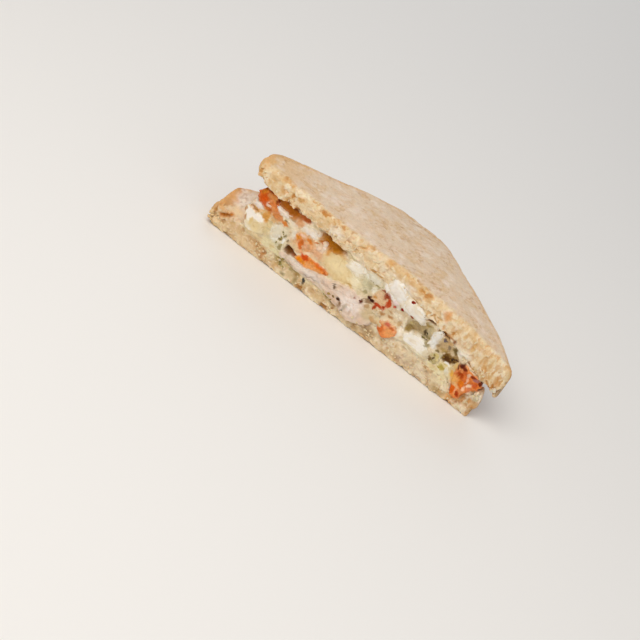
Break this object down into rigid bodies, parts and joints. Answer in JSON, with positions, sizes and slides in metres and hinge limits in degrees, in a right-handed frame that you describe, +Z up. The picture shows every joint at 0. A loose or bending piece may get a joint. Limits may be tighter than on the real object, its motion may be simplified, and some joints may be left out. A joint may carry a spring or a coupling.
{
  "type": "prosciutto sandwich",
  "caption": "Half of a filled bread sandwich cut corner to corner, lying flat with its cut face and filling showing.",
  "frame": {"origin": "middle of the rectangle the half covers on the surface it lies on, at the height of the flat underside of the lower slice", "axes": "+X along the cut, from the gaping tip to the closed tip; +Y from the cut face back to the far corner; +Z up through the slices"},
  "size_m": [0.1776, 0.0876, 0.049],
  "materials": {
    "bread": "matte open crumb and dry crust",
    "tomato": "wet, glossy",
    "ham": "moist satin",
    "egg_white": "smooth, moist satin",
    "egg_yolk": "matte, crumbly",
    "herb_cream": "soft satin with herb flecks",
    "sauce": "wet, glossy",
    "cheese": "smooth waxy satin",
    "soft_cheese": "soft satin",
    "herb_cheese": "soft satin with dark specks",
    "meat_shreds": "fibrous, moist",
    "pickle": "wet, translucent"
  },
  "bodies": {
    "root": {"bread_lower": "bread", "bread_upper": "bread", "cheese_slice": "cheese", "egg_wedge_left": "egg_white", "egg_white_mound": "egg_white", "egg_white_upright": "egg_white", "egg_yolk_right": "egg_yolk", "ham_scrap_left": "ham", "ham_scrap_mid": "ham", "ham_slice": "ham", "herb_cheese": "herb_cheese", "herb_cream_left": "herb_cream", "meat_shreds": "meat_shreds", "pickle_dark": "pickle", "pickle_slice": "pickle", "pickle_small": "pickle", "sauce_left": "sauce", "sauce_mid": "sauce", "sauce_right": "sauce", "sauce_spill": "sauce", "soft_cheese": "soft_cheese", "tomato_centre": "tomato", "tomato_left": "tomato", "tomato_low": "tomato", "tomato_mid_lower": "tomato", "tomato_mid_upper": "tomato", "tomato_right": "tomato"}
  },
  "joints": []
}
